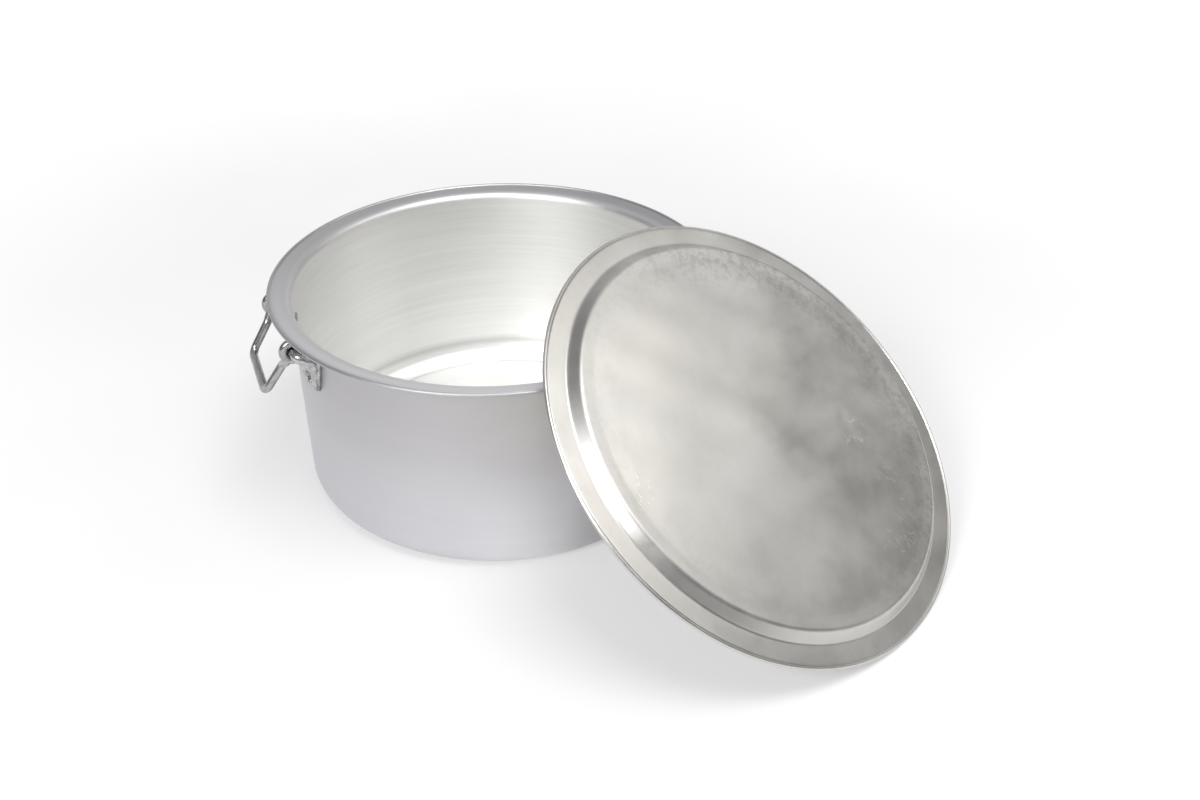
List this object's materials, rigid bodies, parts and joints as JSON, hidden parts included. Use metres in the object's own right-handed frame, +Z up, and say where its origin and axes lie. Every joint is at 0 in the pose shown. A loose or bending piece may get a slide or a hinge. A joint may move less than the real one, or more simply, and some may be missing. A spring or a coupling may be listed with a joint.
{
  "type": "brew kettle",
  "caption": "Wide straight-sided metal boiling pot with a flared rolled rim, swinging bail handles on riveted lugs, and a loose stepped round cover leaning on its rim.",
  "frame": {"origin": "centre of the pot's flat base, on the surface that it stands on", "axes": "+Z up out of the mouth, X through the two handles, the cover leans on the rim towards +X and -Y"},
  "size_m": [0.5639, 0.5969, 0.2477],
  "materials": {
    "pot_metal": "satin spun aluminium, faint concentric turning lines",
    "lid_metal": "dull worn aluminium, slightly wavy sheet with handling smudges",
    "rod_metal": "bright drawn rod, lightly scratched",
    "lug_metal": "as-cast aluminium, worn smooth",
    "rivet_metal": "hammered aluminium"
  },
  "bodies": {
    "pot": {"pot_shell": "pot_metal", "left_front_lug": "lug_metal", "left_rear_lug": "lug_metal", "right_front_lug": "lug_metal", "right_rear_lug": "lug_metal", "left_front_washer": "rivet_metal", "left_rear_washer": "rivet_metal", "right_front_washer": "rivet_metal", "right_rear_washer": "rivet_metal", "left_front_upper_rivet": "rivet_metal", "left_front_lower_rivet": "rivet_metal", "left_rear_upper_rivet": "rivet_metal", "left_rear_lower_rivet": "rivet_metal", "right_front_upper_rivet": "rivet_metal", "right_front_lower_rivet": "rivet_metal", "right_rear_upper_rivet": "rivet_metal", "right_rear_lower_rivet": "rivet_metal"},
    "left_handle": {"left_bail": "rod_metal"},
    "right_handle": {"right_bail": "rod_metal"},
    "cover": {"lid": "lid_metal"}
  },
  "joints": [
    {"name": "left_bail_hinge", "type": "hinge", "parent": "pot", "child": "left_handle", "pos_m": [-0.1895, 0, 0.1745], "axis": [0, 1, 0], "range_deg": [-38, 104]},
    {"name": "right_bail_hinge", "type": "hinge", "parent": "pot", "child": "right_handle", "pos_m": [0.1895, 0, 0.1745], "axis": [0, -1, 0], "range_deg": [-38, 104]},
    {"name": "lid_lift", "type": "slide", "parent": "pot", "child": "cover", "axis": [0.3348, -0.5117, 0.7912], "range_m": [0, 0.15]}
  ]
}
